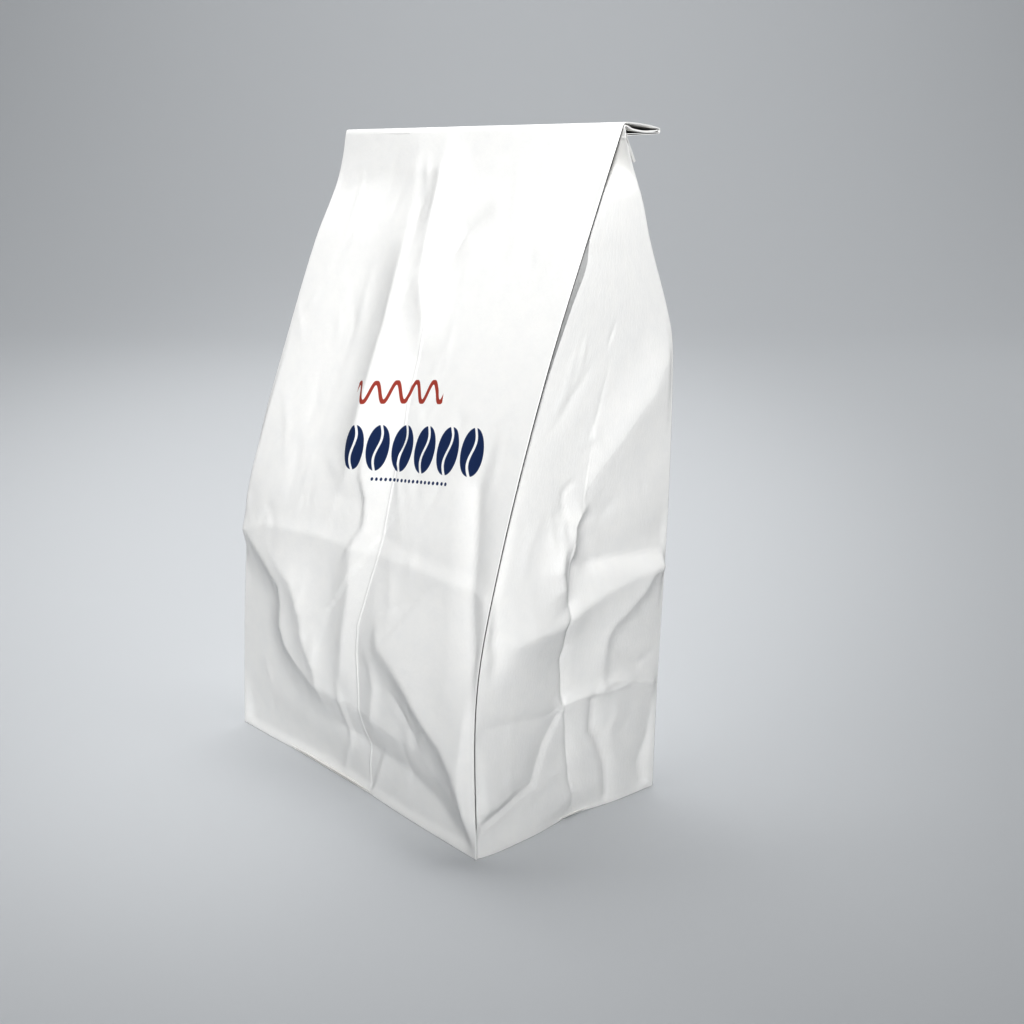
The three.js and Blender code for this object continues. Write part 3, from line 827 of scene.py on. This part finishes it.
        def gusset(columns: np.ndarray, side: float) -> np.ndarray:
            """Lays a gusset flat between the front and the back.

            Args:
                columns: Distance of the columns across the gusset in mm.
                side: 1 for the right gusset and -1 for the left.

            Returns:
                An array of rows by columns by x, y, z, across, up, crease.
            """
            full = self.gusset_width / 2
            from_edge = np.minimum(columns, self.gusset_width - columns)
            share = np.clip((from_edge - lip) / (full - lip), 0, 1)
            edge = np.where(columns <= full, front_off, back_off)
            inward = np.where(columns <= full, -1.0, 1.0)
            off = edge + inward * np.minimum(from_edge, lip)
            off = off + (middle_off - edge - inward * lip) * share
            return place(side * (half - full * share), off, columns)

        x = self.front_x(np.array([[self.body_top]]))
        front = place(x, front_off + 0 * ys, x)
        back = place(self.back_columns[None, ::-1], back_off, self.back_columns[None, ::-1])
        right = gusset(right_columns[None, :], 1.0)
        left = gusset(self.left_columns[None, 1:-1], -1.0)
        return [front, right, back, left[:, ::-1]]

    def mesh(self, parts: Sequence[np.ndarray]) -> bpy.types.Object:
        """Joins the panels' points into one mesh with its sheet coordinates.

        Args:
            parts: Points of the four panels in order round the outline.

        Returns:
            The mesh object.
        """
        panel = np.concatenate([np.full(p.shape[:2], k, float) for k, p in enumerate(parts)], axis=1)
        points = np.concatenate(parts, axis=1)
        rows, columns = points.shape[:2]
        index = np.arange(rows * columns).reshape(rows, columns)
        after = np.roll(index, -1, axis=1)
        faces = np.stack([index[:-1], after[:-1], after[1:], index[1:]], axis=-1).reshape(-1, 4)
        shift = np.array([*BOX_CENTRE, 0.0])
        co = (points[..., :3].reshape(-1, 3) - shift) * MM
        data = bpy.data.meshes.new("paper_shell")
        data.from_pydata(co.tolist(), [], faces.tolist())
        data.polygons.foreach_set("use_smooth", np.ones(len(data.polygons), bool))
        sheet = np.concatenate([points[..., 3:5].reshape(-1, 2), panel.reshape(-1, 1)], axis=1)
        marks = points[..., 5]
        for name, kind, part, values in (
            ("sheet", "FLOAT_VECTOR", "vector", sheet),
            ("crease", "FLOAT", "value", marks),
        ):
            layer = data.attributes.new(name, kind, "POINT")
            layer.data.foreach_set(part, values.astype(np.float32).ravel())
        data.update()
        return new_object("paper_shell", data)


@dataclass
class BaseFlaps:
    """The glued flaps under the bag, seen only from below; sizes in mm."""

    width: float = 105.6
    depth: float = 58.6
    thickness: float = 0.14
    overlap: float = 9.0
    cut: float = 14.0
    shoulder: float = 8.0
    levels: tuple[float, float, float] = (0.5, 0.26, 0.04)

    def build(self) -> list[bpy.types.Object]:
        """Makes the floor of the bag and the two long flaps that overlap under it.

        Returns:
            The three mesh objects, from the top down.
        """
        w, d, s = self.width / 2, self.depth / 2, self.shoulder
        floor = [(-w, -d), (w, -d), (w, d), (-w, d)]
        c, o = self.cut, self.overlap / 2
        back = [(-w, d), (-w, d - s), (-w + c, -o), (w - c, -o), (w, d - s), (w, d)]
        front = [(-w, -d), (w, -d), (w, -d + s), (w - c, o), (-w + c, o), (-w, -d + s)]
        names = ("base_floor", "base_flap_back", "base_flap_front")
        return [self.sheet(*piece) for piece in zip(names, (floor, back[::-1], front), self.levels)]

    def sheet(self, name: str, outline: Sequence[tuple[float, float]], level: float) -> bpy.types.Object:
        """Makes one thin flat sheet.

        Args:
            name: The piece's name.
            outline: Corners in mm, anticlockwise from above.
            level: Height of its under side in mm.

        Returns:
            The mesh object.
        """
        shift = BOX_CENTRE
        count = len(outline)
        co = [
            ((x - shift[0]) * MM, (y - shift[1]) * MM, (level + lift) * MM)
            for lift in (0.0, self.thickness) for x, y in outline
        ]
        faces = [list(range(count))[::-1], list(range(count, 2 * count))]
        faces += [[i, (i + 1) % count, count + (i + 1) % count, count + i] for i in range(count)]
        data = bpy.data.meshes.new(name)
        data.from_pydata(co, [], faces)
        data.update()
        return new_object(name, data)


def linear(colour: str) -> tuple[float, float, float, float]:
    """Turns an sRGB hex colour into linear red, green, blue and alpha.

    Args:
        colour: Six hex digits after a hash.

    Returns:
        The linear colour, opaque.
    """
    parts = [int(colour[i:i + 2], 16) / 255 for i in (1, 3, 5)]
    turned = [c / 12.92 if c <= 0.04045 else ((c + 0.055) / 1.055) ** 2.4 for c in parts]
    return (*turned, 1.0)


def new_material(name: str) -> tuple[bpy.types.Material, bpy.types.NodeTree]:
    """Makes a material with an empty node tree.

    Args:
        name: The material's name.

    Returns:
        The material and its node tree.
    """
    material = bpy.data.materials.new(name)
    material.use_nodes = True
    material.node_tree.nodes.clear()
    return material, material.node_tree


def add_node(
    tree: bpy.types.NodeTree,
    kind: str,
    settings: dict[str, object] | None = None,
    inputs: dict[str | int, object] | None = None,
) -> bpy.types.Node:
    """Adds a node with its settings and what goes into it.

    Args:
        tree: The node tree.
        kind: The node's type.
        settings: Properties of the node.
        inputs: For each socket, another socket to link or a plain value.

    Returns:
        The new node.
    """
    node = tree.nodes.new(kind)
    for name, value in (settings or {}).items():
        setattr(node, name, value)
    for key, value in (inputs or {}).items():
        if isinstance(value, bpy.types.NodeSocket):
            tree.links.new(value, node.inputs[key])
        else:
            node.inputs[key].default_value = value
    return node


@dataclass(frozen=True)
class Artwork:
    """The printed decoration of the front panel: plain shapes in two inks, sizes in mm on the sheet."""

    origin: tuple[float, float] = (-10.6, 88.2)
    slope: float = 6.5
    bean_pitch: float = 8.55
    bean_count: int = 6
    bean_radius: tuple[float, float] = (3.8, 5.6)
    slit: float = 0.42
    slit_bend: float = 0.9
    wave_from: float = 0.5
    wave_to: float = 32.8
    wave_level: float = 13.6
    wave_length: float = 6.7
    wave_height: float = 2.3
    wave_stroke: float = 0.55
    dot_pitch: float = 1.5
    dot_count: int = 19
    dot_radius: float = 0.42
    dots_from: float = 12.0
    dots_level: float = -7.6


@dataclass(frozen=True)
class BleachedKraft:
    """Machine-finished bleached kraft paper: a bright white sheet, faintly cloudy, with a dull surface."""

    sheet_white: str = "#F7F6F3"
    cloud_white: str = "#EFEFEE"
    brown_ink: str = "#A8483A"
    navy_ink: str = "#15305C"
    roughness: float = 0.62
    rough_spread: tuple[float, float] = (0.07, 0.09)
    ior: float = 1.5
    # sizes in mm; the gap keeps the clouds of one panel apart from those of the next
    cloud_size: float = 5.0
    panel_gap: float = 97.0
    # fibres are about 0.03 mm wide, too fine to show, so the grain is drawn at half a millimetre, and it is
    # drawn out up the sheet
    fibre_size: float = 0.55
    fibre_stretch: float = 0.35
    cloud_relief: float = 1.6
    crease_relief: float = 0.6
    ink_edge: float = 0.09
    # the front panel's number is 0, and the print ends where a face turns to the next panel's number
    front_limit: float = 0.02
    bump_strength: float = 0.45
    bump_depth: float = 0.09
    artwork: Artwork = Artwork()

    def build(self) -> bpy.types.Material:
        """Makes the paper with its print.

        Returns:
            The material.
        """
        material, tree = new_material("bleached_kraft")
        sheet = add_node(tree, "ShaderNodeAttribute", {"attribute_name": "sheet"}).outputs["Vector"]
        crease = add_node(tree, "ShaderNodeAttribute", {"attribute_name": "crease"}).outputs["Fac"]
        spread = add_node(tree, "ShaderNodeVectorMath", {"operation": "MULTIPLY"},
                          {0: sheet, 1: (1.0, 1.0, self.panel_gap)}).outputs[0]
        clouds = add_node(tree, "ShaderNodeTexNoise", {},
                          {"Vector": spread, "Scale": 1 / self.cloud_size, "Detail": 4.0, "Roughness": 0.6})
        drawn = add_node(tree, "ShaderNodeVectorMath", {"operation": "MULTIPLY"},
                         {0: spread, 1: (1.0, self.fibre_stretch, 1.0)}).outputs[0]
        fibres = add_node(tree, "ShaderNodeTexNoise", {},
                          {"Vector": drawn, "Scale": 1 / self.fibre_size, "Detail": 3.0, "Roughness": 0.65})
        tint = add_node(tree, "ShaderNodeMix", {"data_type": "RGBA"},
                        {0: clouds.outputs["Fac"], 6: linear(self.sheet_white),
                         7: linear(self.cloud_white)})
        colour = self.printed(tree, sheet, tint.outputs[2])
        low, high = self.roughness - self.rough_spread[0], self.roughness + self.rough_spread[1]
        rough = add_node(tree, "ShaderNodeMapRange", {}, {0: fibres.outputs["Fac"], 3: low, 4: high})
        height = add_node(tree, "ShaderNodeMath", {"operation": "MULTIPLY_ADD"},
                          {0: clouds.outputs["Fac"], 1: self.cloud_relief, 2: fibres.outputs["Fac"]})
        ridge = add_node(tree, "ShaderNodeMath", {"operation": "MULTIPLY_ADD"},
                         {0: crease, 1: self.crease_relief, 2: height.outputs[0]})
        bump = add_node(tree, "ShaderNodeBump", {}, {
            "Height": ridge.outputs[0], "Strength": self.bump_strength, "Distance": self.bump_depth * MM,
        })
        shader = add_node(tree, "ShaderNodeBsdfPrincipled", {}, {
            "Base Color": colour, "Roughness": rough.outputs[0], "IOR": self.ior, "Normal": bump.outputs[0],
        })
        add_node(tree, "ShaderNodeOutputMaterial", {}, {"Surface": shader.outputs[0]})
        return material

    def printed(
        self, tree: bpy.types.NodeTree, sheet: bpy.types.NodeSocket, paper: bpy.types.NodeSocket,
    ) -> bpy.types.NodeSocket:
        """Lays the printed shapes over the paper's colour.

        Args:
            tree: The material's node tree.
            sheet: Place on the flat sheet in mm, with the panel's number as its third part.
            paper: Colour of the bare paper.

        Returns:
            The colour with the print on it.
        """
        art = self.artwork

        def math_node(operation: str, *values: object) -> bpy.types.NodeSocket:
            """Works out one sum of sockets and numbers."""
            sums = dict(enumerate(values))
            return add_node(tree, "ShaderNodeMath", {"operation": operation}, sums).outputs[0]

        def ink(distance: bpy.types.NodeSocket, limit: float) -> bpy.types.NodeSocket:
            """Turns a distance into ink with a soft edge, like that of ink in paper.

            Args:
                distance: Distance from the middle of the shape in mm.
                limit: Distance at which the ink ends in mm.

            Returns:
                1 where there is ink and 0 where there is none.
            """
            low, high = limit - self.ink_edge, limit + self.ink_edge
            return add_node(tree, "ShaderNodeMapRange", {"interpolation_type": "SMOOTHSTEP"},
                            {0: distance, 1: low, 2: high, 3: 1.0, 4: 0.0}).outputs[0]

        moved = add_node(tree, "ShaderNodeVectorMath", {"operation": "SUBTRACT"},
                         {0: sheet, 1: (*art.origin, 0.0)}).outputs[0]
        turned = add_node(tree, "ShaderNodeVectorRotate", {"rotation_type": "Z_AXIS"},
                          {"Vector": moved, "Angle": -math.radians(art.slope)}).outputs[0]
        parts = add_node(tree, "ShaderNodeSeparateXYZ", {}, {0: turned}).outputs
        a, b = parts[0], parts[1]
        on_front = math_node("LESS_THAN", math_node("ABSOLUTE", parts[2]), self.front_limit)

        def within(value: bpy.types.NodeSocket, low: float, high: float) -> bpy.types.NodeSocket:
            """Is 1 between two values and 0 elsewhere."""
            above = math_node("GREATER_THAN", value, low)
            return math_node("MULTIPLY", above, math_node("LESS_THAN", value, high))

        # a row of beans, each an oval with a curved slit
        cell = math_node("SUBTRACT", math_node("FLOORED_MODULO", a, art.bean_pitch), art.bean_pitch / 2)
        rx, ry = art.bean_radius
        oval = math_node("SQRT", math_node("ADD", math_node("POWER", math_node("DIVIDE", cell, rx), 2.0),
                                           math_node("POWER", math_node("DIVIDE", b, ry), 2.0)))
        inside = ink(math_node("MULTIPLY", oval, rx), rx)
        slit_turn = math_node("MULTIPLY", b, math.pi / ry)
        bend = math_node("MULTIPLY", math_node("SINE", slit_turn), art.slit_bend)
        slit = ink(math_node("ABSOLUTE", math_node("SUBTRACT", cell, bend)), art.slit)
        bean = math_node("MULTIPLY", inside, math_node("SUBTRACT", 1.0, slit))
        beans = math_node("MULTIPLY", bean, within(a, 0.0, art.bean_pitch * art.bean_count))

        # a row of small dots below it
        dot_place = math_node("FLOORED_MODULO", math_node("SUBTRACT", a, art.dots_from), art.dot_pitch)
        dot_cell = math_node("SUBTRACT", dot_place, art.dot_pitch / 2)
        dot_row = math_node("SUBTRACT", b, art.dots_level)
        dot = ink(math_node("SQRT", math_node("ADD", math_node("POWER", dot_cell, 2.0),
                                              math_node("POWER", dot_row, 2.0))), art.dot_radius)
        dots_to = art.dots_from + art.dot_pitch * art.dot_count
        dots = math_node("MULTIPLY", dot, within(a, art.dots_from, dots_to))

        # a wavy line above it
        turn = math_node("MULTIPLY", a, 2 * math.pi / art.wave_length)
        line = math_node("MULTIPLY", math_node("SINE", turn), art.wave_height)
        off = math_node("ABSOLUTE", math_node("SUBTRACT", math_node("SUBTRACT", b, art.wave_level), line))
        steepest = art.wave_height * 2 * math.pi / art.wave_length
        steep = math_node("MULTIPLY", math_node("COSINE", turn), steepest)
        slant = math_node("SQRT", math_node("ADD", math_node("POWER", steep, 2.0), 1.0))
        wave = math_node("MULTIPLY", ink(math_node("DIVIDE", off, slant), art.wave_stroke),
                         within(a, art.wave_from, art.wave_to))

        navy = math_node("MULTIPLY", math_node("MAXIMUM", beans, dots), on_front)
        brown = math_node("MULTIPLY", wave, on_front)
        first = add_node(tree, "ShaderNodeMix", {"data_type": "RGBA"},
                         {0: navy, 6: paper, 7: linear(self.navy_ink)})
        return add_node(tree, "ShaderNodeMix", {"data_type": "RGBA"},
                        {0: brown, 6: first.outputs[2], 7: linear(self.brown_ink)}).outputs[2]


@dataclass(frozen=True)
class PlainPaper:
    """The same paper without print, for the flaps under the bag: a little duller and more cloudy.

    Its clouds lie in the object's own space.
    """

    white: str = "#F3F2EF"
    shade: str = "#E6E5E2"
    roughness: float = 0.66
    cloud_size: float = 6.0
    bump_strength: float = 0.4
    bump_depth: float = 0.1

    def build(self) -> bpy.types.Material:
        """Makes the paper of the base.

        Returns:
            The material.
        """
        material, tree = new_material("bleached_kraft_base")
        place = add_node(tree, "ShaderNodeTexCoord").outputs["Object"]
        clouds = add_node(tree, "ShaderNodeTexNoise", {},
                          {"Vector": place, "Scale": 1 / (self.cloud_size * MM), "Detail": 5.0})
        tint = add_node(tree, "ShaderNodeMix", {"data_type": "RGBA"},
                        {0: clouds.outputs["Fac"], 6: linear(self.white), 7: linear(self.shade)})
        bump = add_node(tree, "ShaderNodeBump", {}, {
            "Height": clouds.outputs["Fac"], "Strength": self.bump_strength,
            "Distance": self.bump_depth * MM,
        })
        shader = add_node(tree, "ShaderNodeBsdfPrincipled", {}, {
            "Base Color": tint.outputs[2], "Roughness": self.roughness, "Normal": bump.outputs[0],
        })
        add_node(tree, "ShaderNodeOutputMaterial", {}, {"Surface": shader.outputs[0]})
        return material


class LampKind(Enum):
    """The kinds of lamp in the studio."""

    SPOT = "SPOT"
    AREA = "AREA"


@dataclass(frozen=True)
class Lamp:
    """A lamp: its size and place in metres, its power in watts, and a spot's cone in degrees."""

    name: str
    kind: LampKind
    place: tuple[float, float, float]
    aim: tuple[float, float, float]
    size: float
    power: float
    cone: float = 0.0

    def hang(self) -> None:
        """Makes the lamp and points it at its aim."""
        light = bpy.data.lights.new(self.name, self.kind.value)
        if self.kind is LampKind.SPOT:
            light.shadow_soft_size = self.size
            light.spot_size, light.spot_blend = math.radians(self.cone), 1.0
        else:
            light.size = self.size
        light.energy = self.power
        lamp = new_object(self.name, light)
        lamp.location = self.place
        lamp.rotation_euler = (Vector(self.aim) - Vector(self.place)).to_track_quat("-Z", "Y").to_euler()


@dataclass(frozen=True)
class MattCard:
    """Matt grey card: an even, dull surface with no gloss that would take the eye off the bag."""

    grey: str = "#CDCFD1"
    roughness: float = 0.85

    def build(self) -> bpy.types.Material:
        """Makes the card of the sweep.

        Returns:
            The material.
        """
        material = bpy.data.materials.new("matt_floor")
        material.use_nodes = True
        shader = material.node_tree.nodes["Principled BSDF"]
        shader.inputs["Base Color"].default_value = linear(self.grey)
        shader.inputs["Roughness"].default_value = self.roughness
        return material


@dataclass(frozen=True)
class Studio:
    """A pale card sweep, a key lamp, a weak fill and a wash on the sweep; sizes in metres."""

    camera_place: tuple[float, float, float] = (0.27719, -0.21386, 0.16010)
    camera_turn: tuple[float, float, float] = (75.376, 0.0, 49.2016)
    lens: float = 47.4258
    sensor: float = 36.0
    clip: tuple[float, float] = (0.01, 50.0)
    # a setting of the picture and not of the paper: below 1 it gives the hard contrast of the photo
    view_gamma: float = 0.80

    card: MattCard = MattCard()
    sweep_level: float = -0.0001
    sweep_flat: float = 0.9
    sweep_radius: float = 0.7
    sweep_steps: int = 24
    sweep_height: float = 2.6
    sweep_reach: float = 9.0

    world_colour: str = "#D9DEE4"
    world_strength: float = 0.20
    lamps: Sequence[Lamp] = (
        Lamp("key", LampKind.SPOT, (0.87, -0.66, 0.80), (-0.03, -0.01, 0.165), 0.10, 82.0, 24.0),
        Lamp("fill", LampKind.AREA, (-0.20, -0.75, 0.40), (0.0, 0.0, 0.08), 0.5, 0.14),
        Lamp("wash", LampKind.AREA, (-0.35, 0.35, 1.35), (-0.9, 0.9, 0.0), 1.0, 16.0),
    )

    def build(self) -> None:
        """Makes the sweep, the lamps and the camera."""
        self.sweep()
        world = bpy.data.worlds.new("studio")
        world.use_nodes = True
        background = world.node_tree.nodes["Background"]
        background.inputs["Color"].default_value = linear(self.world_colour)
        background.inputs["Strength"].default_value = self.world_strength
        bpy.context.scene.world = world
        for lamp in self.lamps:
            lamp.hang()

        view = bpy.data.cameras.new("camera")
        view.lens = self.lens
        view.sensor_width = self.sensor
        view.clip_start, view.clip_end = self.clip
        camera = new_object("camera", view)
        camera.location = self.camera_place
        camera.rotation_euler = tuple(math.radians(a) for a in self.camera_turn)
        bpy.context.scene.camera = camera
        shown = bpy.context.scene.view_settings
        shown.view_transform = "Standard"
        shown.gamma = self.view_gamma

    def sweep(self) -> None:
        """Makes the floor, which bends up into a backdrop on the side that the camera looks to."""
        level, steps = self.sweep_level, self.sweep_steps
        profile = [(-self.sweep_reach, level), (self.sweep_flat, level)]
        for step in range(1, steps + 1):
            turn = math.pi / 2 * step / steps
            profile.append((self.sweep_flat + self.sweep_radius * math.sin(turn),
                            level + self.sweep_radius * (1 - math.cos(turn))))
        profile.append((self.sweep_flat + self.sweep_radius, self.sweep_height))
        heading = math.radians(self.camera_turn[2])
        ahead = (-math.sin(heading), math.cos(heading))
        co = [
            (ahead[0] * s + ahead[1] * w, ahead[1] * s - ahead[0] * w, z)
            for s, z in profile for w in (-self.sweep_reach, self.sweep_reach)
        ]
        faces = [(2 * i, 2 * i + 1, 2 * i + 3, 2 * i + 2) for i in range(len(profile) - 1)]
        data = bpy.data.meshes.new("floor")
        data.from_pydata(co, [], faces)
        data.polygons.foreach_set("use_smooth", np.ones(len(faces), bool))
        data.materials.append(self.card.build())
        floor = new_object("floor", data)


def main() -> None:
    """Builds the bag and its setting, piece by piece."""
    logging.basicConfig(level=logging.INFO, format="%(name)s: %(message)s")
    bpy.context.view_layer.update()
    Studio().build()
    LOG.info("studio is in place")

    paper = BleachedKraft().build()
    shell = PaperShell().build()
    shell.data.materials.append(paper)
    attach(shell, "root")
    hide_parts(CAD_NODE)
    LOG.info("%s has %d faces", shell.name, len(shell.data.polygons))

    plain = PlainPaper().build()
    for flap in BaseFlaps().build():
        flap.data.materials.append(plain)
        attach(flap, "root")
        LOG.info("%s is in place", flap.name)


if __name__ == "__main__":
    main()
